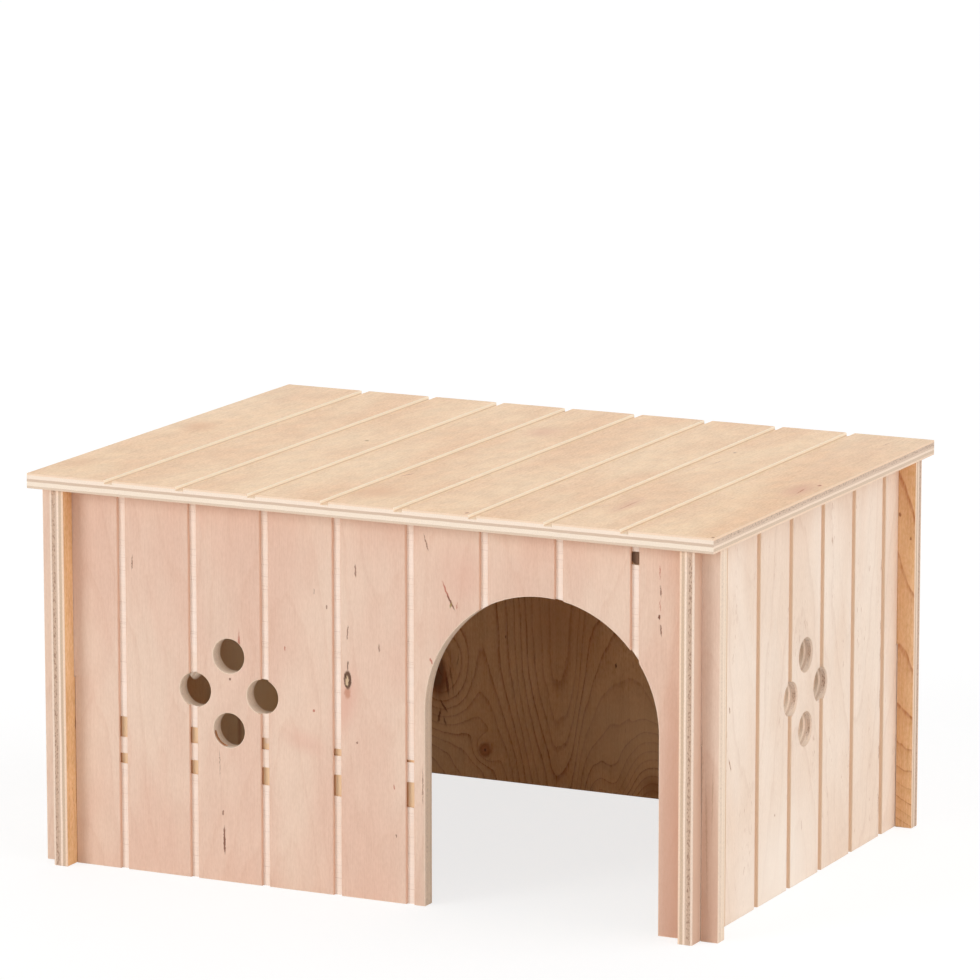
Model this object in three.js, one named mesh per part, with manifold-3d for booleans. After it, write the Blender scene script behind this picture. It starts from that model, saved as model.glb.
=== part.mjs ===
// A small animal house that slots together from plywood boards, with a loose roof laid on top.
// The origin is on the floor under the middle of the house: +X to the right, +Y to the back, +Z up.
// All lengths are in millimetres.
import * as THREE from 'three';
import { mergeVertices } from 'three/addons/utils/BufferGeometryUtils.js';
import Module from 'manifold-3d';

const wasm = await Module();
wasm.setup();

// The plywood and the overall sizes of the walls
const boardThickness = 9;
const wallHeight = 225;
const frontWidth = 432;
const sideDepth = 320;

// The cross-halved slots that lock the walls together
const endMargin = 11;            // from the end of a wall to the board that crosses it
const slotSideGap = 0.3;         // air on each side of a board in its slot
const slotEndGap = 0.3;          // air between the two slot ends, as both walls stand on the floor

// The grooves that make each board look like a row of planks
const groovePitch = 46.8;
const grooveWidth = 5.2;
const grooveDepth = 2.2;
const leastEndPlank = 40;        // an outer plank is never narrower than this

// The doorway in the front wall
const doorWidth = 146;
const doorToSideWall = 17;       // wood from the doorway to the inner face of the side wall
const woodOverDoor = 37;         // wood from the top of the arch to the top of the wall

// The four vent holes, set in a ring
const ventDiameter = 20.5;
const ventRingRadius = 22;
const ventCount = 4;

// The roof and the two battens that keep it in place
const roofSideOverhang = 2;
const roofEndOverhang = 3.5;
const roofSeatGap = 0.3;
const battenWidth = 10;
const battenHeight = 18;
const battenSideGap = 1;
const battenEndGap = 1.2;
const leadInWidth = 2.5;         // the cut-back corner that guides a batten in past its wall
const leadInHeight = 7;

// How far a cutter runs past the face that it cuts, and how fine a curve is
const cutterOverrun = 5;
const archSegments = 40;

// Places worked out from those sizes
const crossingFromEnd = endMargin + boardThickness / 2;
const sideWallX = frontWidth / 2 - crossingFromEnd;
const endWallY = sideDepth / 2 - crossingFromEnd;
const roofWidth = frontWidth + 2 * roofSideOverhang;
const roofDepth = sideDepth + 2 * roofEndOverhang;
const slotHalfWidth = boardThickness / 2 + slotSideGap;
const slotHalfRise = slotEndGap / 2;
const doorHeight = wallHeight - woodOverDoor;
const doorOffset = sideWallX - boardThickness / 2 - doorToSideWall - doorWidth / 2;

const birch = new THREE.Color(0xe9c9ad);
const pine = new THREE.Color(0xe0a878);

function woodMaterial(color) {
  return new THREE.MeshStandardMaterial({ color, roughness: 0.65, metalness: 0 });
}

// Closed mesh to solid and back, for the groove cuts

function toSolid(geometry) {
  const bare = geometry.clone();
  bare.deleteAttribute('normal');
  bare.deleteAttribute('uv');
  const merged = mergeVertices(bare);
  return new wasm.Manifold(new wasm.Mesh({
    numProp: 3,
    vertProperties: new Float32Array(merged.attributes.position.array),
    triVerts: new Uint32Array(merged.index.array),
  }));
}

function toGeometry(solid) {
  const mesh = solid.getMesh();
  const geometry = new THREE.BufferGeometry();
  geometry.setAttribute('position', new THREE.BufferAttribute(new Float32Array(mesh.vertProperties), 3));
  geometry.setIndex(new THREE.BufferAttribute(new Uint32Array(mesh.triVerts), 1));
  geometry.computeVertexNormals();
  return geometry;
}

// Boards
// A board is drawn lying down: x runs across it, y up it, and z out of its grooved face,
// with the plain face at z = 0. Grooves run up the board, spaced evenly about its middle.

function groovePlaces(width) {
  const eachSide = Math.round((width / 2 - leastEndPlank) / groovePitch);
  const places = [];
  for (let i = 0; i < eachSide; i += 1) {
    const x = (i + 1 / 2) * groovePitch;
    places.push(-x, x);
  }
  return places;
}

function groovedBoard(outline, width, lowEdge, highEdge) {
  const blank = new THREE.ExtrudeGeometry(outline, {
    depth: boardThickness,
    bevelEnabled: false,
    curveSegments: archSegments,
  });
  const cutter = new THREE.BoxGeometry(
    grooveWidth,
    highEdge - lowEdge + 2 * cutterOverrun,
    grooveDepth + cutterOverrun,
  );
  const cutterZ = boardThickness - grooveDepth + (grooveDepth + cutterOverrun) / 2;
  let board = toSolid(blank);
  for (const x of groovePlaces(width)) {
    const groove = cutter.clone().translate(x, (lowEdge + highEdge) / 2, cutterZ);
    board = board.subtract(toSolid(groove));
  }
  return toGeometry(board);
}

// Outlines

// Walls that stand between the ends of others are slotted from above, the others from below.
function wallOutline(width, crossingX, slottedFromAbove, doorway) {
  const edge = width / 2;
  const outline = new THREE.Shape();
  outline.moveTo(-edge, 0);
  if (!slottedFromAbove) {
    const slotTop = wallHeight / 2 + slotHalfRise;
    outline.lineTo(-crossingX - slotHalfWidth, 0);
    outline.lineTo(-crossingX - slotHalfWidth, slotTop);
    outline.lineTo(-crossingX + slotHalfWidth, slotTop);
    outline.lineTo(-crossingX + slotHalfWidth, 0);
    if (doorway) addDoorway(outline);
    outline.lineTo(crossingX - slotHalfWidth, 0);
    outline.lineTo(crossingX - slotHalfWidth, slotTop);
    outline.lineTo(crossingX + slotHalfWidth, slotTop);
    outline.lineTo(crossingX + slotHalfWidth, 0);
  }
  outline.lineTo(edge, 0);
  outline.lineTo(edge, wallHeight);
  if (slottedFromAbove) {
    const slotFoot = wallHeight / 2 - slotHalfRise;
    outline.lineTo(crossingX + slotHalfWidth, wallHeight);
    outline.lineTo(crossingX + slotHalfWidth, slotFoot);
    outline.lineTo(crossingX - slotHalfWidth, slotFoot);
    outline.lineTo(crossingX - slotHalfWidth, wallHeight);
    outline.lineTo(-crossingX + slotHalfWidth, wallHeight);
    outline.lineTo(-crossingX + slotHalfWidth, slotFoot);
    outline.lineTo(-crossingX - slotHalfWidth, slotFoot);
    outline.lineTo(-crossingX - slotHalfWidth, wallHeight);
  }
  outline.lineTo(-edge, wallHeight);
  outline.closePath();
  return outline;
}

// The doorway is open at the floor and ends in a half circle, drawn from left to right.
function addDoorway(outline) {
  const archRadius = doorWidth / 2;
  const springHeight = doorHeight - archRadius;
  outline.lineTo(doorOffset - archRadius, 0);
  outline.lineTo(doorOffset - archRadius, springHeight);
  outline.absarc(doorOffset, springHeight, archRadius, Math.PI, 0, true);
  outline.lineTo(doorOffset + archRadius, 0);
}

// Four round holes to the left, right, top and bottom of a point at half height
function addVents(outline, middleX) {
  for (let i = 0; i < ventCount; i += 1) {
    const turn = (i * 2 * Math.PI) / ventCount;
    const hole = new THREE.Path();
    hole.absarc(
      middleX + ventRingRadius * Math.cos(turn),
      wallHeight / 2 + ventRingRadius * Math.sin(turn),
      ventDiameter / 2, 0, 2 * Math.PI, true,
    );
    outline.holes.push(hole);
  }
}

// Pieces
// A wall is tilted upright, then turned so that its grooved face looks outwards.

function standingWall(name, geometry, turn, x, y) {
  const wall = new THREE.Mesh(geometry, woodMaterial(birch));
  wall.name = name;
  wall.rotation.set(Math.PI / 2, 0, turn, 'ZYX');
  wall.position.set(x, y, 0);
  return wall;
}

function makeFrontPanel() {
  const outline = wallOutline(frontWidth, sideWallX, false, true);
  addVents(outline, -2 * groovePitch);
  const board = groovedBoard(outline, frontWidth, 0, wallHeight);
  return standingWall('front_panel', board, 0, 0, -endWallY + boardThickness / 2);
}

function makeBackPanel() {
  const outline = wallOutline(frontWidth, sideWallX, false, false);
  const board = groovedBoard(outline, frontWidth, 0, wallHeight);
  return standingWall('back_panel', board, Math.PI, 0, endWallY - boardThickness / 2);
}

function makeSidePanel(name, side) {
  const outline = wallOutline(sideDepth, endWallY, true, false);
  addVents(outline, 0);
  const board = groovedBoard(outline, sideDepth, 0, wallHeight);
  const innerFaceX = side * (sideWallX - boardThickness / 2);
  return standingWall(name, board, (side * Math.PI) / 2, innerFaceX, 0);
}

function makeRoofPanel() {
  const outline = new THREE.Shape();
  outline.moveTo(-roofWidth / 2, -roofDepth / 2);
  outline.lineTo(roofWidth / 2, -roofDepth / 2);
  outline.lineTo(roofWidth / 2, roofDepth / 2);
  outline.lineTo(-roofWidth / 2, roofDepth / 2);
  outline.closePath();
  const board = groovedBoard(outline, roofWidth, -roofDepth / 2, roofDepth / 2);
  const roof = new THREE.Mesh(board, woodMaterial(birch));
  roof.name = 'roof_panel';
  return roof;
}

// A batten lies flat against the underside of the roof and drops just inside a side wall. The side
// that faces the wall is cut back at the foot. The outline is seen from the front.
function makeBatten(name, side) {
  const outerX = side * (sideWallX - boardThickness / 2 - battenSideGap);
  const innerX = outerX - side * battenWidth;
  const length = 2 * (endWallY - boardThickness / 2 - battenEndGap);
  const outline = new THREE.Shape();
  outline.moveTo(innerX, 0);
  outline.lineTo(innerX, -battenHeight);
  outline.lineTo(outerX - side * leadInWidth, -battenHeight);
  outline.lineTo(outerX, -battenHeight + leadInHeight);
  outline.lineTo(outerX, 0);
  outline.closePath();
  const strip = new THREE.ExtrudeGeometry(outline, { depth: length, bevelEnabled: false });
  const batten = new THREE.Mesh(strip, woodMaterial(pine));
  batten.name = name;
  batten.rotation.x = Math.PI / 2;
  batten.position.y = length / 2;
  return batten;
}

const house = new THREE.Group();
house.add(makeFrontPanel());
house.add(makeBackPanel());
house.add(makeSidePanel('left_side_panel', -1));
house.add(makeSidePanel('right_side_panel', 1));

const roof = new THREE.Group();
roof.position.z = wallHeight + roofSeatGap;
roof.add(makeRoofPanel());
roof.add(makeBatten('left_batten', -1));
roof.add(makeBatten('right_batten', 1));
house.add(roof);

export default house;
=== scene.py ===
# The looks of a small animal house: four slotted plywood walls under a loose grooved roof.
# Object space is in metres. A board's own space is in millimetres: X across the grain, Y along it,
# and Z up from its plain face to its grooved one.
from math import pi, radians

import bmesh
import bpy
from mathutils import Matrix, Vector, noise


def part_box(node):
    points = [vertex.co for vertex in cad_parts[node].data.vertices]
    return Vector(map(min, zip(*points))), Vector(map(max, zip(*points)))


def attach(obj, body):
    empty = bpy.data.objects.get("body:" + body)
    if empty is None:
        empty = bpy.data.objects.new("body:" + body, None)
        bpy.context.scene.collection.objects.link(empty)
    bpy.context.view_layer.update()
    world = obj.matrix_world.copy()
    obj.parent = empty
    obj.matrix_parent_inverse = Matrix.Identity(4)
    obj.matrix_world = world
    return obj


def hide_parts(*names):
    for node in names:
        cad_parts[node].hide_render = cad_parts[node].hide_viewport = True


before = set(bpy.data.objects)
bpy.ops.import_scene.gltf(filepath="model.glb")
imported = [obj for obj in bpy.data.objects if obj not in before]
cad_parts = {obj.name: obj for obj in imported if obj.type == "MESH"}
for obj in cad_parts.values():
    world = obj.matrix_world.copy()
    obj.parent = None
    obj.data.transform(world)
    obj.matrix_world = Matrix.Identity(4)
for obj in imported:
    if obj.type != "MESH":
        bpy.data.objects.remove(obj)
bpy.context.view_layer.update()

# The camera stands three and a half metres off, to the right of the doorway and well above the
# roof. Its lens is long, so that the upright edges stay nearly parallel.
mm = 0.001
camera_height = 900.6 * mm
camera_right = 1526.8 * mm
camera_forward = 3145.4 * mm
looks_down = radians(11.11)
looks_left = radians(25.863)
sensor_width = 36
lens_length = 221.87
bpy.ops.object.camera_add(
    location=(camera_right, -camera_forward, camera_height),
    rotation=(pi / 2 - looks_down, 0, looks_left),
)
camera = bpy.context.object
camera.data.sensor_width = sensor_width
camera.data.lens = lens_length
camera.data.clip_start = 0.1
camera.data.clip_end = 100
bpy.context.scene.camera = camera

# The two side walls are the same board, turned round: 9 mm plywood, sawn to length, grooved to look
# like planks, drilled with four vent holes, and slotted half way down from above near each end.
side_low, side_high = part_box("right_side_panel")
front_low, front_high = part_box("front_panel")
back_low, back_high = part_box("back_panel")
board = side_high.x - side_low.x
wall_height = side_high.z
side_depth = side_high.y - side_low.y
side_crossing = (back_low.y + back_high.y) / 2

slot_side_gap = 0.3 * mm
slot_end_gap = 0.3 * mm
groove_pitch = 46.8 * mm
groove_width = 5.2 * mm
groove_depth = 2.2 * mm
least_end_plank = 40 * mm
vent_diameter = 20.5 * mm
vent_ring_radius = 22 * mm
overrun = 3 * mm
rim_ease = 0.35 * mm
groove_wander = 0.14 * mm
groove_step = 2 * mm
clean_chip = 0.25 * mm
blunt_chip = 1.1 * mm
sharp_edge = radians(40)
smooth_edge = radians(25)

# The crossband under the grooved face lies between these depths
crossband_top = 1.3 * mm
crossband_foot = 3.3 * mm


def alone(piece):
    """Makes this the one piece that the next operator works on."""
    bpy.ops.object.select_all(action="DESELECT")
    piece.select_set(True)
    bpy.context.view_layer.objects.active = piece


def block(width, height, thick, centre):
    """A block of these outer sizes, standing where it is wanted."""
    bpy.ops.mesh.primitive_cube_add(size=1, location=centre)
    made = bpy.context.object
    made.scale = (width, height, thick)
    bpy.ops.object.transform_apply(location=True, rotation=True, scale=True)
    return made


def round_cutter(diameter, x, y, vertices=64):
    """A cylinder that goes right through a board."""
    bpy.ops.mesh.primitive_cylinder_add(
        vertices=vertices, radius=diameter / 2, depth=board + 2 * overrun, location=(x, y, board / 2)
    )
    bpy.ops.object.transform_apply(location=True, rotation=True, scale=True)
    return bpy.context.object


def combine(piece, other, operation):
    """Adds the other shape to the piece or takes it away, and removes the other object."""
    alone(piece)
    bpy.ops.object.modifier_add(type="BOOLEAN")
    step = piece.modifiers[-1]
    step.operation = operation
    step.solver = "EXACT"
    step.object = other
    bpy.ops.object.modifier_apply(modifier=step.name)
    bpy.data.objects.remove(other)


def saw_away(piece, cutter):
    """Takes the cutter's shape out of the piece."""
    combine(piece, cutter, "DIFFERENCE")


def ease_rims(piece):
    """Rubs down every sharp edge, as a pass with sandpaper does."""
    alone(piece)
    bpy.ops.object.mode_set(mode="EDIT")
    bpy.ops.mesh.select_mode(type="EDGE")
    bpy.ops.mesh.select_all(action="DESELECT")
    shape = bmesh.from_edit_mesh(piece.data)
    for edge in shape.edges:
        edge.select = edge.calc_face_angle(0) > sharp_edge
    shape.select_flush_mode()
    bmesh.update_edit_mesh(piece.data)
    bpy.ops.mesh.bevel(offset=rim_ease, segments=2, affect="EDGES", clamp_overlap=False)
    bpy.ops.object.mode_set(mode="OBJECT")


def rout_groove(piece, x, length, seed, chip=clean_chip):
    """Cuts one groove up the board, with sides that wander a little and a chipped mouth."""
    steps = int(length / groove_step)
    middle = (x, length / 2, board - groove_depth)
    bpy.ops.mesh.primitive_grid_add(x_subdivisions=1, y_subdivisions=steps, size=1, location=middle)
    bit = bpy.context.object
    bit.scale = (groove_width, length + 2 * overrun, 1)
    bpy.ops.object.transform_apply(location=True, rotation=True, scale=True)
    bpy.ops.object.mode_set(mode="EDIT")
    bpy.ops.mesh.select_all(action="SELECT")
    bpy.ops.mesh.extrude_region_move(TRANSFORM_OT_translate={"value": (0, 0, groove_depth - rim_ease)})
    bpy.ops.mesh.extrude_region_move(TRANSFORM_OT_translate={"value": (0, 0, 2 * rim_ease)})
    bpy.ops.transform.resize(value=(1 + 4 * rim_ease / groove_width, 1, 1), center_override=middle)
    bpy.ops.mesh.extrude_region_move(TRANSFORM_OT_translate={"value": (0, 0, overrun)})
    bpy.ops.mesh.select_all(action="SELECT")
    bpy.ops.mesh.normals_make_consistent(inside=False)
    bpy.ops.object.mode_set(mode="OBJECT")
    for vertex in bit.data.vertices:
        side = 1 if vertex.co.x > x else -1
        along = vertex.co.y / mm
        wander = groove_wander * noise.noise(Vector((along * 0.11, side * 7.3, seed)))
        if vertex.co.z > board:
            torn = max(0, noise.noise(Vector((along * 0.23, side * 3.1, seed + 40))) - 0.15)
            wander += chip * torn
        vertex.co.x += side * wander
    saw_away(piece, bit)


def groove_places(width):
    """Where the grooves run, evenly to both sides of the middle."""
    each_side = round((width / 2 - least_end_plank) / groove_pitch)
    right = [(i + 1 / 2) * groove_pitch for i in range(each_side)]
    return [-x for x in reversed(right)] + right


def cut_board(name, width, height, crossing, slot_from_above):
    """A board lying grooved face up, sawn to size and slotted where two others cross it."""
    piece = block(width, height, board, (0, height / 2, board / 2))
    piece.name = name
    slot_length = height / 2 + slot_end_gap / 2 + overrun
    slot_y = height + overrun - slot_length / 2 if slot_from_above else slot_length / 2 - overrun
    if crossing:
        for x in (-crossing, crossing):
            size = (board + 2 * slot_side_gap, slot_length, board + 2 * overrun)
            saw_away(piece, block(*size, (x, slot_y, board / 2)))
    return piece


def drill_vents(piece, middle_x):
    """Four holes to the left, right, top and bottom of a point at half height."""
    for dx, dy in ((-1, 0), (1, 0), (0, 1), (0, -1)):
        x = middle_x + dx * vent_ring_radius
        y = wall_height / 2 + dy * vent_ring_radius
        saw_away(piece, round_cutter(vent_diameter, x, y))


def face_sides(piece, width, outer, inner, edge, groove):
    """Gives the grooved face, the plain face, the sawn edges and the grooves their finishes."""
    for finish in (outer, inner, edge, groove):
        piece.data.materials.append(finish)
    near = 0.1 * mm
    reach = groove_width / 2 + 4 * rim_ease
    for face in piece.data.polygons:
        heights = [piece.data.vertices[v].co.z for v in face.vertices]
        flat = abs(face.normal.z) > 0.9
        over_core = min(heights) > board - crossband_foot - near
        under_rim = min(heights) < board - 2 * rim_ease
        by_groove = any(abs(face.center.x - x) < reach for x in groove_places(width))
        if flat and min(heights) > board - near:
            face.material_index = 0
        elif flat and max(heights) < near:
            face.material_index = 1
        elif over_core and (under_rim or by_groove):
            face.material_index = 3
        else:
            face.material_index = 2


def put_in_place(piece, place, node, body):
    """Stands a finished board where its solid stands, and lets it move with that body."""
    alone(piece)
    bpy.ops.object.shade_smooth_by_angle(angle=smooth_edge)
    piece.location, piece.rotation_euler = place
    bpy.ops.object.transform_apply(location=True, rotation=True, scale=True)
    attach(piece, body)
    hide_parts(node)


def display(red, green, blue):
    """A colour as it is read off a screen, from 0 to 255, as the shader wants it."""
    parts = [c / 255 for c in (red, green, blue)]
    return tuple(c / 12.92 if c < 0.04045 else ((c + 0.055) / 1.055) ** 2.4 for c in parts) + (1,)


def add_node(tree, kind, feeds, **settings):
    """Adds a shader node. A feed is another node's output, or a fixed value."""
    made = tree.nodes.new(kind)
    for name, value in settings.items():
        setattr(made, name, value)
    for socket, value in feeds.items():
        if isinstance(value, bpy.types.NodeSocket):
            tree.links.new(value, made.inputs[socket])
        else:
            made.inputs[socket].default_value = value
    return made


def maths(tree, operation, a, b=0.0, c=0.0):
    """One step of arithmetic on up to three values."""
    return add_node(tree, "ShaderNodeMath", {0: a, 1: b, 2: c}, operation=operation).outputs[0]


def blended(tree, share, a, b, how="MIX"):
    """Colour a turning into colour b as share goes from 0 to 1."""
    feeds = {0: share, 6: a, 7: b}
    return add_node(tree, "ShaderNodeMix", feeds, data_type="RGBA", blend_type=how).outputs[2]


def between(tree, value, low, high, to_low=0.0, to_high=1.0):
    """A smooth step from one level to another as the value goes from low to high."""
    feeds = {"Value": value, "From Min": low, "From Max": high, "To Min": to_low, "To Max": to_high}
    return add_node(tree, "ShaderNodeMapRange", feeds, interpolation_type="SMOOTHSTEP").outputs[0]


def board_space(tree, place):
    """Where a point is on its board, in millimetres."""
    location, rotation = place
    here = tree.nodes.new("ShaderNodeTexCoord").outputs["Object"]
    feeds = {"Vector": here, "Location": location, "Rotation": rotation, "Scale": (mm, mm, mm)}
    return add_node(tree, "ShaderNodeMapping", feeds, vector_type="TEXTURE").outputs[0]


def streaks(tree, where, across, along, seed, detail=3.0):
    """Noise from 0 to 1 with features of these lengths in millimetres across and along the grain."""
    feeds = {0: where, 1: (1 / across, 1 / along, 1 / across), 2: (seed, seed * 1.7, seed * 0.6)}
    scaled = add_node(tree, "ShaderNodeVectorMath", feeds, operation="MULTIPLY_ADD").outputs[0]
    feeds = {"Vector": scaled, "Scale": 1.0, "Detail": detail, "Roughness": 0.55}
    return add_node(tree, "ShaderNodeTexNoise", feeds).outputs[0]


def spot(tree, where, x, y, width, length, lean, softness=0.6):
    """A long soft spot, right through the board: 1 in its middle and 0 outside."""
    right_through = 1000
    feeds = {
        "Vector": where,
        "Location": (x, y, 0),
        "Rotation": (0, 0, radians(lean)),
        "Scale": (width / 2, length / 2, right_through),
    }
    local = add_node(tree, "ShaderNodeMapping", feeds, vector_type="TEXTURE").outputs[0]
    reach = add_node(tree, "ShaderNodeVectorMath", {0: local}, operation="LENGTH").outputs["Value"]
    return between(tree, reach, 1.0, 1.0 - softness)


def new_finish(name):
    """A new material, with its node tree and its shader."""
    finish = bpy.data.materials.new(name)
    finish.use_nodes = True
    tree = finish.node_tree
    shader = tree.nodes["Principled BSDF"]
    shader.inputs["Specular IOR Level"].default_value = 0.3
    return finish, tree, shader


def roughen(tree, shader, height, depth):
    """Raises the surface by up to this many millimetres where height is 1."""
    feeds = {"Strength": 1.0, "Distance": depth * mm, "Height": height}
    bump = add_node(tree, "ShaderNodeBump", feeds)
    tree.links.new(bump.outputs[0], shader.inputs["Normal"])


def round_knots(tree, where, rings, steepness, knots):
    """Bends the rings round each knot: its place, the width and length it reaches, and its rings."""
    for knot_x, knot_y, width, length, count in knots:
        hump = spot(tree, where, knot_x, knot_y, width, length, 0, 1.0)
        rings = maths(tree, "MULTIPLY_ADD", hump, count, rings)
        steepness = maths(tree, "MAXIMUM", steepness, between(tree, hump, 0.05, 0.5))
    return rings, steepness


def rolling_rings(seed, swing, swing_width, pitch, knots=()):
    """Growth rings that run up the board in arches and valleys, and how steep they are there."""
    def run(tree, where, x, y):
        lean = maths(tree, "MULTIPLY_ADD", streaks(tree, where, 60, 150, seed, 2), 44, -22)
        angle = maths(tree, "MULTIPLY_ADD", maths(tree, "ADD", x, lean), 2 * pi / swing_width, seed)
        arches = maths(tree, "MULTIPLY", maths(tree, "COSINE", angle), swing)
        steepness = maths(tree, "ABSOLUTE", maths(tree, "SINE", angle))
        rings = maths(tree, "MULTIPLY_ADD", y, 1 / pitch, arches)
        return round_knots(tree, where, rings, steepness, knots)
    return run


def make_veneer(name, place, seed, pale, warm, line, line_depth, rings_run, marks=(), flecks=0.3,
                mottle=0.04, grain=0.02):
    """Peeled veneer: soft patches, growth rings, fine fibres, short dark flecks and single marks."""
    finish, tree, shader = new_finish(name)
    where = board_space(tree, place)

    patches = streaks(tree, where, 45, 120, seed, 2)
    colour = blended(tree, between(tree, patches, 0.32, 0.68), pale, warm)

    # Late wood darkens each ring towards its end, in some rings more than in others
    parts = add_node(tree, "ShaderNodeSeparateXYZ", {0: where})
    rings, steepness = rings_run(tree, where, parts.outputs["X"], parts.outputs["Y"])
    drift = streaks(tree, where, 16, 70, seed + 3, 2)
    rings = maths(tree, "MULTIPLY_ADD", drift, 0.9, rings)
    tremble = streaks(tree, where, 2.2, 14, seed + 8, 3)
    tremble = maths(tree, "MULTIPLY", tremble, maths(tree, "MULTIPLY_ADD", steepness, 0.12, 0.08))
    rings = maths(tree, "ADD", rings, tremble)
    ring = maths(tree, "FLOOR", rings)
    share = maths(tree, "FRACT", rings)
    feeds = {"W": maths(tree, "ADD", ring, seed)}
    chance = add_node(tree, "ShaderNodeTexWhiteNoise", feeds, noise_dimensions="1D").outputs[0]
    width = maths(tree, "MULTIPLY_ADD", steepness, -0.2, 0.8)
    rise = between(tree, share, width, 0.96)
    fall = between(tree, share, 1.0, 0.95)
    soft = maths(tree, "MULTIPLY", between(tree, share, 0.3, 1.0), 0.34)
    late_wood = maths(tree, "MULTIPLY", maths(tree, "MAXIMUM", rise, soft), fall)
    late_wood = maths(tree, "MULTIPLY", late_wood, maths(tree, "MULTIPLY_ADD", chance, 0.6, 0.4))
    broken = between(tree, streaks(tree, where, 1.4, 26, seed + 5, 3), 0.3, 0.6, 0.6, 1.0)
    late_wood = maths(tree, "MULTIPLY", late_wood, broken)
    colour = blended(tree, maths(tree, "MULTIPLY", late_wood, line_depth), colour, line)

    # Clouds, speckle and fibres, and pores that crowd together in places
    cloudy = streaks(tree, where, 9, 16, seed + 6, 4)
    shade = between(tree, cloudy, 0.25, 0.75, 1 - mottle, 1 + mottle)
    colour = blended(tree, 1.0, colour, shade, "MULTIPLY")
    speckle = streaks(tree, where, 0.9, 3.0, seed + 7, 3)
    shade = between(tree, speckle, 0.3, 0.7, -grain, grain)
    colour = blended(tree, 1.0, colour, shade, "ADD")
    fibres = streaks(tree, where, 0.7, 26, seed + 1, 4)
    shade = between(tree, fibres, 0.25, 0.75, -grain, grain)
    colour = blended(tree, 1.0, colour, shade, "ADD")
    pores = between(tree, streaks(tree, where, 0.8, 7, seed + 2, 2), 0.60, 0.72)
    crowd = between(tree, streaks(tree, where, 9, 90, seed + 4, 2), 0.5, 0.68)
    pores = maths(tree, "MULTIPLY", maths(tree, "MULTIPLY", pores, crowd), flecks)
    colour = blended(tree, pores, colour, line)

    # Single marks, with ragged outlines
    waver = maths(tree, "MULTIPLY_ADD", streaks(tree, where, 1.0, 2.6, seed + 9, 2), 1.8, -0.9)
    sideways = add_node(tree, "ShaderNodeCombineXYZ", {"X": waver}).outputs[0]
    ragged = add_node(tree, "ShaderNodeVectorMath", {0: where, 1: sideways}).outputs[0]
    for x_mm, y_mm, width, length, lean_degrees, mark_colour, strength, softness in marks:
        here = spot(tree, ragged, x_mm, y_mm, width, length, lean_degrees, softness)
        colour = blended(tree, maths(tree, "MULTIPLY", here, strength), colour, mark_colour)

    tree.links.new(colour, shader.inputs["Base Color"])
    tree.links.new(between(tree, fibres, 0.3, 0.7, 0.62, 0.72), shader.inputs["Roughness"])
    height = maths(tree, "MULTIPLY_ADD", late_wood, -0.25, fibres)
    roughen(tree, shader, height, 0.05)
    return finish


def make_sawn_edge(name, place, seed, face_ply, upright_rub=0.0, level_rub=0.0):
    """The sawn edge of five plies: those cut across their fibres are darker and rougher, and show
    less on the upright or level edges that are rubbed smooth."""
    finish, tree, shader = new_finish(name)
    where = board_space(tree, place)
    parts = add_node(tree, "ShaderNodeSeparateXYZ", {0: where})
    waves = streaks(tree, where, 9, 30, seed, 2)
    depth = maths(tree, "SUBTRACT", board / mm, parts.outputs["Z"])
    depth = maths(tree, "ADD", depth, maths(tree, "MULTIPLY_ADD", waves, 0.5, -0.25))
    share = maths(tree, "DIVIDE", depth, board / mm)

    # How deep under the grooved face each ply or tone begins, and its colour
    upright = (
        (0, face_ply), (1.3, display(206, 175, 152)), (3.3, display(216, 188, 166)),
        (4.6, display(250, 226, 206)), (5.9, display(214, 186, 160)), (7.7, display(248, 218, 192)),
    )
    level = (
        (0, face_ply), (1.2, display(252, 234, 218)), (3.4, display(190, 158, 134)),
        (5.0, display(252, 238, 220)), (7.5, display(210, 184, 160)),
    )
    stripes = []
    for plies in (upright, level):
        ramp = add_node(tree, "ShaderNodeValToRGB", {"Fac": share})
        stops = ramp.color_ramp.elements
        stops[0].position, stops[0].color = 0, plies[0][1]
        stops[1].position, stops[1].color = 1, plies[-1][1]
        blur = 0.012
        for (_, above), (glue, below) in zip(plies, plies[1:]):
            at = glue / (board / mm)
            stops.new(at - blur).color = above
            stops.new(at + blur).color = below
        stripes.append(ramp.outputs[0])

    # An edge is level where its normal points along the grain
    _, rotation = place
    normal = tree.nodes.new("ShaderNodeTexCoord").outputs["Normal"]
    feeds = {"Vector": normal, "Rotation": rotation}
    turned = add_node(tree, "ShaderNodeMapping", feeds, vector_type="TEXTURE").outputs[0]
    along = add_node(tree, "ShaderNodeSeparateXYZ", {0: turned}).outputs["Y"]
    is_level = maths(tree, "POWER", maths(tree, "ABSOLUTE", along), 2)
    colour = blended(tree, is_level, stripes[0], stripes[1])
    rubbed = maths(tree, "MULTIPLY_ADD", is_level, level_rub - upright_rub, upright_rub)
    colour = blended(tree, rubbed, colour, display(250, 228, 206))

    # Torn fibres, and pits in the crossband
    specks = streaks(tree, where, 0.5, 1.4, seed + 2, 3)
    torn = between(tree, specks, 0.30, 0.70, 0.93, 1.05)
    colour = blended(tree, 1.0, colour, torn, "MULTIPLY")
    crossband = between(tree, maths(tree, "ABSOLUTE", maths(tree, "ADD", depth, -2.5)), 1.3, 0.8)
    pits = between(tree, streaks(tree, where, 0.9, 1.8, seed + 4, 3), 0.50, 0.62)
    pits = maths(tree, "MULTIPLY", pits, crossband)
    pits = maths(tree, "MULTIPLY", pits, maths(tree, "MULTIPLY_ADD", is_level, -0.7, 0.7))
    pits = maths(tree, "MULTIPLY", pits, maths(tree, "SUBTRACT", 1, rubbed))
    colour = blended(tree, pits, colour, display(148, 114, 94))

    tree.links.new(colour, shader.inputs["Base Color"])
    shader.inputs["Roughness"].default_value = 0.8
    roughen(tree, shader, maths(tree, "SUBTRACT", specks, pits), 0.12)
    return finish


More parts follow.
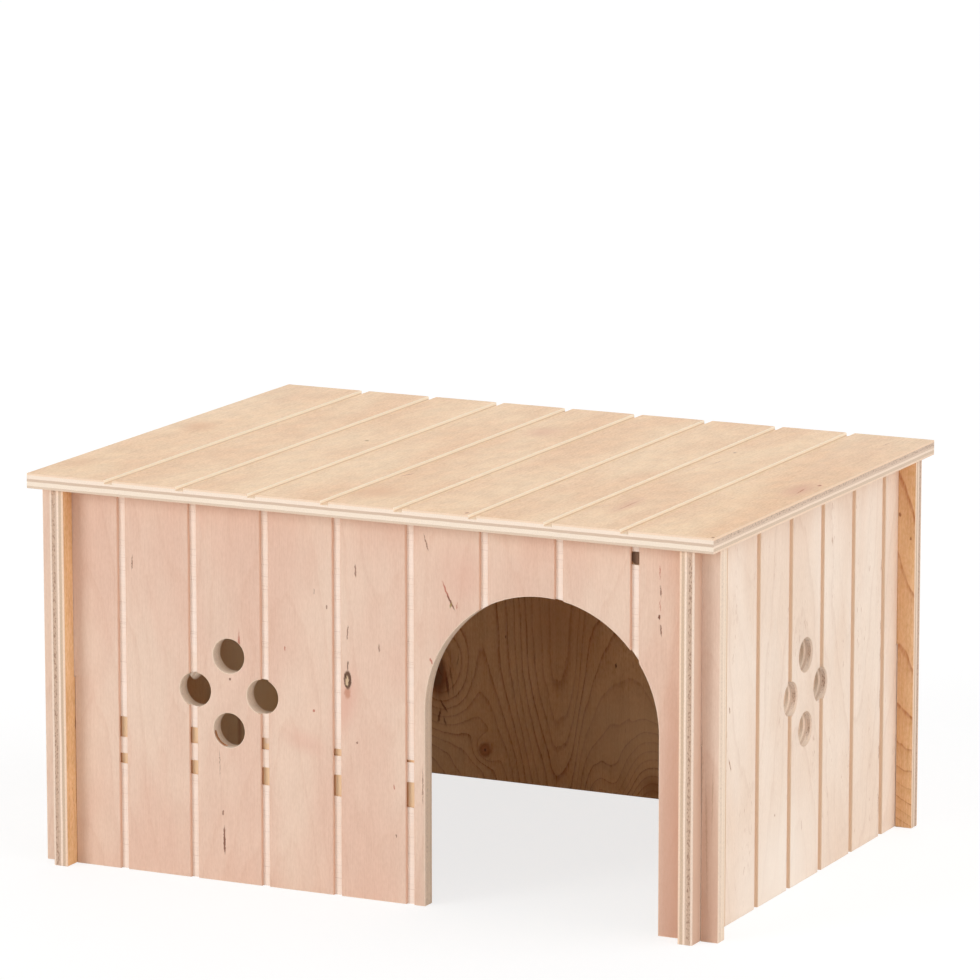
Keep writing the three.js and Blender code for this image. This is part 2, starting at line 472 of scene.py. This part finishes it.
def make_groove(name, place, seed, wall_colour, corner=0.0, stains=(),
                floor_pale=display(254, 238, 225), floor_warm=display(250, 229, 212)):
    """The crossband that a groove lays bare: pale, with its fibres running across the groove. Where
    that crossband has a gap, the tan core shows, with a stain on it here and there."""
    finish, tree, shader = new_finish(name)
    where = board_space(tree, place)
    parts = add_node(tree, "ShaderNodeSeparateXYZ", {0: where})
    x, y = parts.outputs["X"], parts.outputs["Y"]
    depth = maths(tree, "SUBTRACT", board / mm, parts.outputs["Z"])
    fibres = streaks(tree, where, 14, 0.9, seed, 3)
    patches = streaks(tree, where, 30, 40, seed + 1, 2)
    pale = blended(tree, between(tree, patches, 0.3, 0.7), floor_pale, floor_warm)
    pale = blended(tree, 1.0, pale, between(tree, fibres, 0.25, 0.75, 0.97, 1.02), "MULTIPLY")
    # Fine checks that cross the groove
    across = maths(tree, "MULTIPLY_ADD", x, 0.011, seed * 3.7)
    feeds = {"W": maths(tree, "MULTIPLY_ADD", y, 0.37, across), "Detail": 3.0}
    checks = add_node(tree, "ShaderNodeTexNoise", feeds, noise_dimensions="1D").outputs[0]
    checks = between(tree, checks, 0.68, 0.73)
    pale = blended(tree, maths(tree, "MULTIPLY", checks, 0.4), pale, display(176, 128, 96))
    # The two walls of the groove, and the shade where they meet its floor
    floor_depth = groove_depth / mm
    on_wall = between(tree, depth, floor_depth - 0.02, floor_depth - 0.12)
    pale = blended(tree, on_wall, pale, wall_colour)
    off_corner = maths(tree, "ABSOLUTE", maths(tree, "SUBTRACT", depth, floor_depth - 0.35))
    in_corner = between(tree, off_corner, 0.33, 0.15)
    pale = blended(tree, maths(tree, "MULTIPLY", in_corner, corner), pale, display(186, 134, 100))
    # The core, which shows in a gap, with painted shade where it runs in under the planks
    groove_share = maths(tree, "FRACT", maths(tree, "DIVIDE", x, groove_pitch / mm))
    from_middle = maths(tree, "ABSOLUTE", maths(tree, "SUBTRACT", groove_share, 0.5))
    half_width = groove_width / groove_pitch / 2
    painted_shade_under_plank = between(tree, from_middle, half_width * 0.86, half_width * 1.12)
    core = blended(tree, painted_shade_under_plank, display(255, 220, 178), display(226, 164, 118))
    for x_mm, y_mm, width, length, stain_colour, strength in stains:
        here = spot(tree, where, x_mm, y_mm, width, length, 0, 0.2)
        core = blended(tree, maths(tree, "MULTIPLY", here, strength), core, stain_colour)
    bare_core = between(tree, depth, floor_depth + 0.3, floor_depth + 0.7)
    colour = blended(tree, bare_core, pale, core)
    tree.links.new(colour, shader.inputs["Base Color"])
    shader.inputs["Roughness"].default_value = 0.75
    roughen(tree, shader, maths(tree, "SUBTRACT", fibres, checks), 0.04)
    return finish


side_wall_x = (side_low.x + side_high.x) / 2
orange_pale = display(249, 205, 157)
orange_warm = display(240, 192, 141)
orange_line = display(178, 100, 52)
side_wall_of_groove = display(230, 201, 174)
side_pale = display(249, 230, 213)
side_warm = display(243, 219, 199)
side_line = display(190, 146, 116)

# Marks: where they are across and along the board, their width and length, how far they lean to
# the left, and their colour, strength and softness
bark = display(136, 64, 28)
resin = display(176, 104, 54)
knot_marks_and_painted_light = (
    # The first three are painted light: pale patches that lighten the inside of the wall where it lies in
    # shade
    (-70, 70, 210, 260, 0, display(255, 234, 202), 0.9, 0.9),
    (118, 60, 70, 240, 0, display(255, 226, 186), 0.35, 1.0),
    (-118, 70, 140, 280, 0, display(255, 224, 176), 0.8, 1.0),
    (124, 80, 13, 54, -6, resin, 0.6, 1.0),
    (126, 71, 6, 20, -8, bark, 0.85, 0.8),
    (125, 90, 3.0, 26, -12, bark, 0.8, 0.7),
    (121, 82, 2.0, 14, 0, bark, 0.6, 0.7),
    (128, 60, 5, 16, -4, resin, 0.8, 0.8),
    (117, 59, 2.0, 15, 2, bark, 0.85, 0.5),
    (112, 59, 1.8, 13, 2, bark, 0.7, 0.5),
    (109, 57, 1.6, 10, 0, bark, 0.6, 0.5),
    (104, 34, 2.0, 32, 0, bark, 1.0, 0.35),
    (99, 16, 1.8, 5, -40, bark, 0.8, 0.5),
    (96, 58, 2.2, 12, 0, bark, 0.9, 0.5),
    (94, 82, 2.4, 30, 1, bark, 0.7, 0.8),
    (91, 70, 1.8, 20, 0, bark, 0.6, 0.7),
    (93, 40, 2.6, 30, 0, bark, 0.5, 0.8),
    (91, 9, 1.8, 14, -6, bark, 0.9, 0.5),
    (147, 68, 1.6, 16, 3, bark, 0.7, 0.6),
    (149, 84, 1.4, 10, 0, bark, 0.5, 0.6),
    (130, 40, 1.8, 14, 0, bark, 0.7, 0.6),
    (133, 34, 1.6, 12, 2, bark, 0.6, 0.6),
    (132, 22, 1.4, 9, 0, bark, 0.5, 0.6),
    (138, 14, 1.4, 12, 0, bark, 0.4, 0.6),
    (21, 20, 22, 46, 0, resin, 0.6, 1.0),
    (21, 16, 13, 28, 0, resin, 0.5, 0.8),
    (20, 4, 4.0, 7, 0, bark, 1.0, 0.6),
    (9, 24, 2.0, 30, 8, bark, 0.85, 0.6),
    (17, 42, 2.0, 9, 24, bark, 0.8, 0.6),
    (18, 58, 2.2, 20, 18, bark, 0.6, 0.8),
    (27, 52, 8, 36, 10, resin, 0.5, 1.0),
    (30, 82, 5, 22, -10, resin, 0.5, 0.9),
    (44, 10, 2.0, 22, -6, bark, 0.6, 0.7),
    (46, 60, 1.4, 16, 0, bark, 0.5, 0.7),
    (-26, 46, 3.4, 54, 0, bark, 0.5, 0.9),
    (-25, 20, 2.4, 26, 0, bark, 0.65, 0.7),
    (-12, 14, 1.8, 34, 2, bark, 0.5, 0.7),
    (-54, 40, 8, 70, 0, resin, 0.5, 0.9),
    (-55, 22, 1.8, 18, 0, bark, 0.5, 0.8),
    (-116, 60, 2.2, 40, -3, bark, 0.5, 0.8),
)

knotty_places = ((21, 6, 50, 96, 3.5), (124, 84, 26, 90, 2.5))
torn = display(176, 130, 98)
rusty = display(198, 122, 100)
torn_marks_and_painted_shade = (
    (113.6, 166, 1.2, 10, 0, torn, 0.8, 0.6),
    (113.4, 128, 1.0, 14, 2, torn, 0.7, 0.6),
    (113.8, 112, 1.4, 12, -2, torn, 0.8, 0.6),
    (113.5, 84, 1.2, 20, 1, torn, 0.7, 0.6),
    (113.7, 52, 1.5, 16, 0, torn, 0.8, 0.6),
    (113.4, 22, 1.2, 22, 2, torn, 0.8, 0.6),
    # Painted shade: the end of the wall that stands out past the crossing wall, darkened where that wall's
    # ear shades it
    (-155, 112, 16, 600, 0, display(214, 172, 146), 0.75, 0.4),
    (-40, 10, 220, 130, 0, display(255, 244, 232), 0.6, 1.0),
    (-141.6, 57.7, 1.6, 13, 35, rusty, 0.8, 0.6),
    (-134, 53, 1.3, 9, 15, rusty, 0.7, 0.6),
    (-133.2, 32.6, 1.8, 10, -10, torn, 0.7, 0.6),
    (-130.8, 15.2, 2.4, 9, 0, display(166, 120, 80), 0.9, 0.6),
    (-109.8, 124.6, 1.6, 5, 10, torn, 0.9, 0.5),
    (-109, 92.8, 1.6, 11, 25, torn, 0.9, 0.6),
    (-43.9, 49, 1.8, 2.2, 0, torn, 0.7, 0.6),
    (-4.2, 34, 1.2, 9, 0, torn, 0.4, 0.6),
)

side_walls = (("left_side_wall", "left_side_panel", -1), ("right_side_wall", "right_side_panel", 1))
for name, node, side in side_walls:
    place = ((side * (side_wall_x - board / 2), 0, 0), (pi / 2, 0, side * pi / 2))
    seed = 11 + 5 * side
    wall = cut_board(name, side_depth, wall_height, side_crossing, True)
    drill_vents(wall, 0)
    ease_rims(wall)
    last = len(groove_places(side_depth)) - 1
    for count, x in enumerate(groove_places(side_depth)):
        # The bit was blunt on the last groove, and tore its mouth
        rout_groove(wall, x, wall_height, seed + count, blunt_chip if count == last else clean_chip)
    outer = make_veneer(name + "_outer", place, seed, side_pale, side_warm, side_line,
                        0.15, rolling_rings(seed, 2.2, 150, 60), torn_marks_and_painted_shade, flecks=1.0, mottle=0.015)
    inner = make_veneer(name + "_inner", place, seed + 20, orange_pale, orange_warm, orange_line,
                        0.3, rolling_rings(seed, 2.0, 130, 120, knotty_places), knot_marks_and_painted_light, flecks=0.9,
                        grain=0.055)
    edge = make_sawn_edge(name + "_edge", place, seed, side_warm, 0.0, 0.7)
    groove = make_groove(name + "_groove", place, seed, side_wall_of_groove)
    face_sides(wall, side_depth, outer, inner, edge, groove)
    put_in_place(wall, place, node, "walls")

# The front wall drops into the side walls from above, on slots cut up from its lower edge. It has the
# arched doorway and one ring of vents, and gaps in its crossband show in the grooves as dark pockets.
front_width = front_high.x - front_low.x
door_width = 146 * mm
door_to_side_wall = 17 * mm
wood_over_door = 37 * mm
door_height = wall_height - wood_over_door
door_x = side_low.x - door_to_side_wall - door_width / 2
front_vents_x = -2 * groove_pitch


def saw_doorway(piece):
    """Cuts the doorway: straight jambs up from the floor and a half circle over them."""
    spring = door_height - door_width / 2
    size = (door_width, spring + overrun, board + 2 * overrun)
    lower = block(*size, (door_x, (spring - overrun) / 2, board / 2))
    combine(lower, round_cutter(door_width, door_x, spring, 128), "UNION")
    saw_away(piece, lower)


def open_core_gap(piece, left, right, left_span, right_span):
    """A gap between two strips of the crossband, wider at one end, that the grooves lay open."""
    top, bottom = board - crossband_top, board - crossband_foot
    gap = block(1 * mm, 1 * mm, top - bottom, (0, 0, (top + bottom) / 2))
    for vertex in gap.data.vertices:
        low, high = left_span if vertex.co.x < 0 else right_span
        vertex.co.y = low if vertex.co.y < 0 else high
        vertex.co.x = left if vertex.co.x < 0 else right
    saw_away(piece, gap)


place = ((0, front_high.y, 0), (pi / 2, 0, 0))
wall = cut_board("front_wall", front_width, wall_height, side_wall_x, False)
saw_doorway(wall)
drill_vents(wall, front_vents_x)
ease_rims(wall)
for count, x in enumerate(groove_places(front_width)):
    rout_groove(wall, x, wall_height, 60 + count)
open_core_gap(wall, -180 * mm, 31 * mm, (78.5 * mm, 91.6 * mm), (83.6 * mm, 84.6 * mm))
open_core_gap(wall, -180 * mm, 31 * mm, (63.6 * mm, 69.0 * mm), (56.6 * mm, 71.8 * mm))
open_core_gap(wall, 152 * mm, 172 * mm, (212 * mm, 219 * mm), (211 * mm, 219 * mm))

dark = display(120, 72, 52)
knot_rim = display(92, 62, 44)
shadow = display(176, 128, 96)
reddish = display(186, 104, 84)
blush = display(222, 166, 146)
front_marks = (
    (-18, 115, 62, 24, 78, blush, 0.55, 1.0),
    (-45, 89, 20, 42, 70, blush, 0.35, 1.0),
    (60, 196, 50, 60, 0, blush, 0.30, 1.0),
    (196, 60, 36, 90, 0, blush, 0.35, 1.0),
    (151, 170.6, 2.6, 11, 48, display(250, 222, 208), 0.9, 0.4),
    (147.4, 173.2, 0.9, 4, 48, reddish, 0.6, 0.5),
    # Painted shade beside the right side wall: on the plank to its left, which is also pinker, and as the
    # shadow it casts on the ear to its right, with brown grain streaks in that shadow
    (187, 50, 24, 260, 0, display(206, 156, 132), 0.6, 0.7),
    (211, -10, 17, 264, 0, display(206, 160, 132), 0.45, 0.35),
    (205.5, 96, 1.8, 70, 0, shadow, 0.45, 0.9),
    (208.5, 60, 1.6, 110, 1, shadow, 0.4, 0.9),
    (212, 84, 1.4, 60, -1, shadow, 0.4, 0.9),
    (-156.6, 184, 0.9, 12, -3, dark, 0.8, 0.6),
    (-11, 192.5, 1.0, 9, 2, dark, 0.75, 0.4),
    (-16.2, 156, 1.0, 10, -5, dark, 0.7, 0.4),
    (4, 148.7, 0.9, 6, 0, dark, 0.55, 0.4),
    (-37.7, 178, 0.9, 4, 0, dark, 0.5, 0.4),
    (-29.5, 169.5, 1.1, 3, 0, dark, 0.7, 0.4),
    (-56.8, 142.7, 1.1, 3.4, -8, reddish, 0.8, 0.4),
    (-92.7, 121, 1.4, 2, 0, dark, 0.8, 0.4),
    (-86.6, 141, 2.0, 26, 1, reddish, 0.9, 0.8),
    (-38.2, 107.9, 1.5, 2, 0, reddish, 0.8, 0.4),
    (-10.4, 91.9, 1.3, 1.9, 0, dark, 0.7, 0.4),
    (34, 213, 1.0, 12, 16, dark, 0.7, 0.4),
    (46.6, 186, 1.3, 15, 24, reddish, 0.85, 0.5),
    (49.4, 180, 1.5, 13, 30, dark, 0.9, 0.5),
    (49.6, 178, 1.4, 5, -20, display(150, 128, 70), 0.8, 0.6),
    (53.4, 178, 0.9, 6, -8, reddish, 0.7, 0.6),
    (37, 144.6, 1.4, 5, 26, reddish, 0.8, 0.4),
    (179.2, 209, 0.9, 10, 0, reddish, 0.7, 0.6),
    (179.8, 198, 1.1, 9, 4, dark, 0.8, 0.6),
    (179.4, 190, 0.9, 10, 2, reddish, 0.6, 0.6),
    (179.0, 183.5, 1.7, 3.4, 0, dark, 0.95, 0.4),
    (180.0, 176, 1.3, 9, 6, dark, 0.85, 0.6),
    (203, 154, 0.8, 5, 0, dark, 0.4, 0.4),
    (-99.8, 70, 0.8, 26, 1, dark, 0.55, 0.8),
    (-98, 41, 1.0, 4, 0, dark, 0.7, 0.4),
    (-97.2, 24.7, 1.7, 20, 1, dark, 0.9, 0.4),
    (13.4, 68.3, 1.1, 4, 0, reddish, 0.8, 0.4),
    (14.6, 39.6, 1.0, 2.4, 0, dark, 0.7, 0.4),
    (31.6, 70.6, 1.0, 30, 0, dark, 0.7, 0.8),
    (-16.4, 120.5, 5.4, 9, 0, display(196, 138, 112), 0.8, 0.6),
    (-16.3, 128.2, 5.6, 12.5, 0, knot_rim, 0.95, 0.3),
    (-16.2, 136.5, 1.3, 7, -4, knot_rim, 0.8, 0.5),
    (-16.6, 127.4, 3.2, 8, 0, display(214, 184, 150), 0.95, 0.5),
    (-17.6, 130.2, 1.2, 4, 24, knot_rim, 0.9, 0.5),
    (-15.4, 126.4, 1.2, 5, -14, knot_rim, 0.9, 0.5),
    (-17.0, 124.4, 2.4, 1.6, 0, knot_rim, 0.8, 0.5),
)
outer = make_veneer("front_wall_outer", place, 31, display(233, 204, 183), display(227, 190, 169),
                    display(208, 160, 134), 0.2, rolling_rings(31, 2.0, 130, 70), front_marks,
                    flecks=0.25, mottle=0.015)
inner = make_veneer("front_wall_inner", place, 33, orange_pale, orange_warm, orange_line,
                    0.4, rolling_rings(33, 2.6, 110, 45), flecks=0.6, grain=0.04)
edge = make_sawn_edge("front_wall_edge", place, 35, display(231, 200, 179), 0.75, 1.0)
stains = (
    (163.8, 215.4, 9, 9, display(112, 78, 62), 0.9),
    (-70.2, 87, 4.0, 6, display(252, 226, 206), 0.8),
)
groove = make_groove("front_wall_groove", place, 37, display(230, 192, 168), 0.1, stains)
face_sides(wall, front_width, outer, inner, edge, groove)
put_in_place(wall, place, "front_panel", "front")

# The back wall is slotted like the front one but has no openings. Its plain side, seen through the
# doorway, shows the strong arches of a flat-cut veneer, drawn in round two knots.
place = ((0, back_low.y, 0), (pi / 2, 0, pi))
wall = cut_board("back_wall", front_width, wall_height, side_wall_x, False)
ease_rims(wall)
for count, x in enumerate(groove_places(front_width)):
    rout_groove(wall, x, wall_height, 80 + count)
knot_wood = display(150, 108, 78)
scratch = display(255, 226, 190)
ear_painted_shade = display(196, 134, 88)
back_marks_and_painted_light = (
    # The first six are painted light and shade on the inside: pale patches that lighten it at the top, low
    # down and towards both sides, and a darker one in the middle
    (8, 212, 90, 80, 0, display(255, 214, 166), 0.5, 1.0),
    (20, 110, 90, 110, 0, display(208, 150, 102), 0.5, 1.0),
    (-40, 40, 160, 90, 0, display(255, 222, 182), 0.5, 1.0),
    (140, 20, 140, 120, 0, display(255, 224, 184), 0.7, 1.0),
    (155, 130, 140, 220, 0, display(255, 230, 190), 0.9, 1.0),
    (-130, 190, 150, 110, 0, display(255, 222, 180), 0.4, 1.0),
    (-206, 192, 1.8, 3.4, 0, bark, 0.8, 0.5),
    (-213, 178, 1.6, 2.6, 0, bark, 0.8, 0.5),
    (102, 64, 34, 84, 0, display(200, 138, 90), 0.5, 1.0),
    (102, 63, 17, 36, 0, bark, 0.75, 0.6),
    (103.5, 66, 13, 26, 0, knot_wood, 0.95, 0.35),
    (104, 79, 8, 6, 0, display(104, 62, 42), 0.8, 0.7),
    (101, 66, 1.4, 12, -30, bark, 0.7, 0.6),
    (95.5, 58, 2.6, 22, -8, bark, 0.8, 0.7),
    (92.5, 62, 1.6, 26, -10, bark, 0.5, 0.7),
    (98, 44, 1.8, 12, -34, bark, 0.8, 0.6),
    (101, 37, 2.0, 12, 12, bark, 0.8, 0.6),
    (97, 34, 1.4, 8, -20, bark, 0.6, 0.6),
    (88, 74, 1.4, 12, 12, bark, 0.4, 0.8),
    (69.4, 18.6, 11, 12, 0, resin, 0.8, 0.5),
    (69.4, 18.6, 6, 7, 0, display(208, 142, 96), 0.8, 0.5),
    (69.4, 18.6, 2.0, 2.6, 0, display(110, 60, 40), 0.9, 0.5),
    (-45, 6, 22, 24, 0, display(190, 132, 88), 0.6, 0.8),
    (-20, 81, 1.6, 4.2, 8, display(120, 66, 40), 0.9, 0.5),
    (55, 92, 1.4, 3.0, 0, bark, 0.6, 0.6),
    (35, 80, 1.2, 14, 0, bark, 0.4, 0.8),
    (42, 222, 1.0, 20, -66, scratch, 0.8, 0.7),
    (31, 216.5, 1.0, 22, -56, scratch, 0.8, 0.7),
    (18, 206, 1.0, 26, -44, scratch, 0.7, 0.7),
    # Painted shade: darker bands on the ears that stand out past the side walls
    (205, 112, 26, 600, 0, ear_painted_shade, 0.3, 0.6),
    (-205, 112, 26, 600, 0, ear_painted_shade, 0.3, 0.6),
)


def back_rings(tree, where, x, y):
    """A fan of fine rings over a deep valley, with nested arches beside it and rings round knots."""
    # How many rings deep the figure lies at each place across the board
    depths = (
        (-216, 2.2), (-190, 3.4), (-172, 5), (-128, 13), (-110, 15.8), (-56, 18.6), (-42, 19.9),
        (-29, 20.2), (-14, 20.0), (-6, 19.5), (0, 19.0), (20, 15.5), (26, 16.2), (66, 23.8),
        (80, 24.9), (110, 26.6), (216, 29),
    )
    most = 30
    reach = 216
    # The fan opens towards the top, more to one side of the valley than to the other
    opening = maths(tree, "MULTIPLY", between(tree, y, 40, 250), between(tree, x, 12, 28, 0.5, 0.16))
    opening = maths(tree, "MULTIPLY", opening, between(tree, x, -30, -2))
    bent = maths(tree, "MULTIPLY_ADD", maths(tree, "SUBTRACT", 20, x), opening, x)
    # The arches beside it lean away from it towards the foot
    leaning = maths(tree, "MULTIPLY", between(tree, y, 60, -5, 0.0, 24.0), between(tree, x, -4, -24))
    bent = maths(tree, "ADD", bent, leaning)
    feeds = {"Value": maths(tree, "MULTIPLY_ADD", bent, 1 / (2 * reach), 0.5)}
    curve = add_node(tree, "ShaderNodeFloatCurve", feeds)
    points = curve.mapping.curves[0].points
    for side_x, depth in depths:
        points.new(side_x / (2 * reach) + 0.5, 1 - depth / most)
    points[0].location = (0, 1 - depths[0][1] / most)
    points[-1].location = (1, 1 - depths[-1][1] / most)
    curve.mapping.update()
    rings = maths(tree, "MULTIPLY", curve.outputs[0], most)
    rings = maths(tree, "MULTIPLY_ADD", y, 1 / 300, rings)
    in_valley = between(tree, y, -25, 85, 0.0, 4.0)
    # Beside the valley the arches stand ever further apart up the board
    natural_base = 2.718
    in_arches = maths(tree, "LOGARITHM", maths(tree, "ADD", y, 14.0), natural_base)
    in_arches = maths(tree, "MULTIPLY_ADD", in_arches, 2.86, -9.2)
    rise = maths(tree, "MULTIPLY_ADD", maths(tree, "SUBTRACT", in_arches, in_valley),
                 between(tree, x, 5, -12), in_valley)
    rings = maths(tree, "ADD", rings, rise)
    steepness = maths(tree, "MULTIPLY", between(tree, x, -6, 2), between(tree, x, 74, 66))
    knots = ((104, 66, 66, 116, 5.5), (92, 76, 62, 190, 1.5), (69.4, 18.6, 26, 30, 2.0),
             (-46, -8, 60, 136, -5.0))
    return round_knots(tree, where, rings, steepness, knots)


outer = make_veneer("back_wall_outer", place, 41, display(240, 214, 194), display(233, 201, 180),
                    side_line, 0.2, rolling_rings(41, 2.0, 140, 65), flecks=0.5)
inner = make_veneer("back_wall_inner", place, 43, orange_pale, orange_warm, orange_line,
                    0.85, back_rings, back_marks_and_painted_light, flecks=0.6, grain=0.055)
edge = make_sawn_edge("back_wall_edge", place, 45, side_warm, 0.0, 0.7)
groove = make_groove("back_wall_groove", place, 47, side_wall_of_groove)
face_sides(wall, front_width, outer, inner, edge, groove)
put_in_place(wall, place, "back_panel", "walls")

# The roof is a loose board of the same grooved plywood, a little larger than the walls under it.
# It lies on their upper edges by its own weight, with its grooves running from front to back.
roof_low, roof_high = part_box("roof_panel")
roof_width = roof_high.x - roof_low.x
roof_depth = roof_high.y - roof_low.y
place = ((0, roof_low.y, roof_low.z), (0, 0, 0))
roof = cut_board("roof_board", roof_width, roof_depth, 0, True)
ease_rims(roof)
for count, x in enumerate(groove_places(roof_width)):
    rout_groove(roof, x, roof_depth, 100 + count)
half_depth = roof_depth / 2 / mm
tan_orange = display(232, 184, 146)
tan_pink = display(228, 178, 150)
roof_marks = (
    (-200, half_depth + 12, 34, 52, 20, tan_orange, 0.6, 1.0),
    (-206, half_depth - 122, 30, 60, 0, tan_orange, 0.45, 1.0),
    (-9, half_depth - 125, 56, 54, 30, tan_orange, 0.6, 1.0),
    (-3, half_depth + 84, 34, 54, 10, tan_pink, 0.55, 1.0),
    (206, half_depth - 14, 26, 66, 3, tan_pink, 0.75, 1.0),
    (136, half_depth - 96, 16, 70, 2, tan_pink, 0.5, 1.0),
    (-86.2, half_depth + 13.3, 11, 9, 0, display(240, 208, 172), 0.7, 1.0),
    (-86.2, half_depth + 13.3, 3.2, 3.4, 0, display(166, 124, 76), 0.9, 0.6),
    (-16.4, half_depth - 71.9, 1.6, 15, -20, display(176, 112, 84), 0.8, 0.7),
    (64.2, half_depth - 158, 2.4, 4.6, 0, display(170, 98, 78), 0.85, 0.7),
    (211.4, half_depth + 2.2, 2.8, 6.5, 0, display(186, 112, 88), 0.9, 0.7),
    (208.2, half_depth - 18, 1.5, 24, 6, display(196, 118, 90), 0.8, 0.8),
    (126.9, half_depth + 73.7, 2.4, 3.6, 0, display(158, 112, 84), 0.8, 0.7),
    (129.9, half_depth + 41.7, 1.3, 11, -6, display(186, 132, 104), 0.7, 0.8),
    (136.8, half_depth - 98, 1.6, 44, 1, display(206, 142, 112), 0.7, 0.9),
    (197.4, half_depth + 138, 1.5, 16, -4, display(196, 140, 110), 0.7, 0.8),
    (216.4, half_depth - 161, 2.6, 3.4, 0, display(150, 96, 70), 0.8, 0.5),
)
outer = make_veneer("roof_outer", place, 51, display(251, 219, 184), display(245, 206, 170),
                    display(222, 174, 138), 0.14, rolling_rings(51, 1.6, 120, 90), roof_marks,
                    flecks=0.3, mottle=0.05, grain=0.05)
inner = make_veneer("roof_inner", place, 53, display(248, 212, 174), display(241, 200, 158), orange_line,
                    0.4, rolling_rings(53, 2.2, 130, 55), flecks=0.6, grain=0.04)
edge = make_sawn_edge("roof_edge", place, 55, display(246, 210, 176), 0.3, 0.45)
groove = make_groove("roof_groove", place, 57, display(255, 240, 218), 0.4,
                     floor_pale=display(255, 232, 205), floor_warm=display(252, 226, 197))
face_sides(roof, roof_width, outer, inner, edge, groove)
put_in_place(roof, place, "roof_panel", "roof")

# Two sawn softwood battens are fixed under the roof, just inside the side walls, and keep it from
# sliding. The lower corner towards the wall is cut back, so that the roof finds its place.
lead_in_width = 2.5 * mm
lead_in_height = 7 * mm
ring_width = 2.7
ring_lean = 0.09
battens = (("left_locating_batten", "left_batten", -1), ("right_locating_batten", "right_batten", 1))
for name, node, side in battens:
    low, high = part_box(node)
    middle, size = (low + high) / 2, high - low
    batten = block(size.x, size.y, size.z, middle)
    batten.name = name
    outer_x = middle.x + side * size.x / 2
    cutter = block(2 * lead_in_width, size.y + 2 * overrun, 2 * lead_in_height, (outer_x, middle.y, low.z))
    for vertex in cutter.data.vertices:
        if side * (vertex.co.x - outer_x) < 0:
            vertex.co.x += side * lead_in_width * (1 if vertex.co.z > low.z else -1)
    saw_away(batten, cutter)
    ease_rims(batten)
    finish, tree, shader = new_finish(name + "_softwood")
    place = ((middle.x, low.y, low.z), (0, 0, 0))
    where = board_space(tree, place)
    parts = add_node(tree, "ShaderNodeSeparateXYZ", {0: where})
    rings = streaks(tree, where, 9, 260, middle.x * 100, 2)
    rings = maths(tree, "MULTIPLY_ADD", parts.outputs["X"], 1 / ring_width, rings)
    rings = maths(tree, "MULTIPLY_ADD", parts.outputs["Z"], side * ring_lean, rings)
    share = maths(tree, "FRACT", rings)
    late = maths(tree, "MULTIPLY", between(tree, share, 0.35, 0.9), between(tree, share, 1.0, 0.93))
    fibres = streaks(tree, where, 0.6, 18, 7, 3)
    colour = blended(tree, late, display(252, 226, 194), display(196, 128, 88))
    colour = blended(tree, 1.0, colour, between(tree, fibres, 0.25, 0.75, 0.9, 1.06), "MULTIPLY")
    tree.links.new(colour, shader.inputs["Base Color"])
    shader.inputs["Roughness"].default_value = 0.7
    roughen(tree, shader, fibres, 0.08)
    batten.data.materials.append(finish)
    alone(batten)
    bpy.ops.object.shade_smooth_by_angle(angle=smooth_edge)
    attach(batten, "roof")
    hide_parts(node)

# The studio: a wide white floor under a white sky, with a broad lamp in front on the left, a second
# one on the right a little behind, and two weak ones that fill the front and the back.
floor_size = 60
floor_glow = 0.77
sky_light = 0.48
bpy.ops.mesh.primitive_plane_add(size=floor_size, location=(0, 0, 0))
ground = bpy.context.object
ground.name = "studio_floor"
finish, tree, shader = new_finish("studio_white")
shader.inputs["Roughness"].default_value = 1.0
shader.inputs["Specular IOR Level"].default_value = 0
shader.inputs["Emission Color"].default_value = (1, 1, 1, 1)
seen = tree.nodes.new("ShaderNodeLightPath").outputs["Is Camera Ray"]
lit, shown = (0.88, 0.88, 0.88, 1), (0.3, 0.3, 0.3, 1)
tree.links.new(blended(tree, seen, lit, shown), shader.inputs["Base Color"])
tree.links.new(maths(tree, "MULTIPLY", seen, floor_glow), shader.inputs["Emission Strength"])
ground.data.materials.append(finish)

world = bpy.data.worlds.new("studio_sky")
bpy.context.scene.world = world
world.use_nodes = True
tree = world.node_tree
sky = tree.nodes["Background"]
path = tree.nodes.new("ShaderNodeLightPath")
seen = maths(tree, "MAXIMUM", path.outputs["Is Camera Ray"], path.outputs["Is Glossy Ray"])
tree.links.new(maths(tree, "MULTIPLY_ADD", seen, 1 - sky_light, sky_light), sky.inputs["Strength"])
sky.inputs["Color"].default_value = (1, 1, 1, 1)

# Each lamp: how far round from the doorway's side to the right, how high, how strong and how broad
lamps = ((-35, 16, 1.24, 30), (98, 28, 1.08, 70), (45, 8, 0.38, 30), (200, 20, 0.5, 60))
for turn, rise, strength, breadth in lamps:
    bpy.ops.object.light_add(type="SUN", rotation=(radians(90 - rise), 0, radians(turn)))
    lamp = bpy.context.object
    lamp.data.energy = strength
    lamp.data.angle = radians(breadth)

bpy.context.scene.view_settings.view_transform = "Standard"
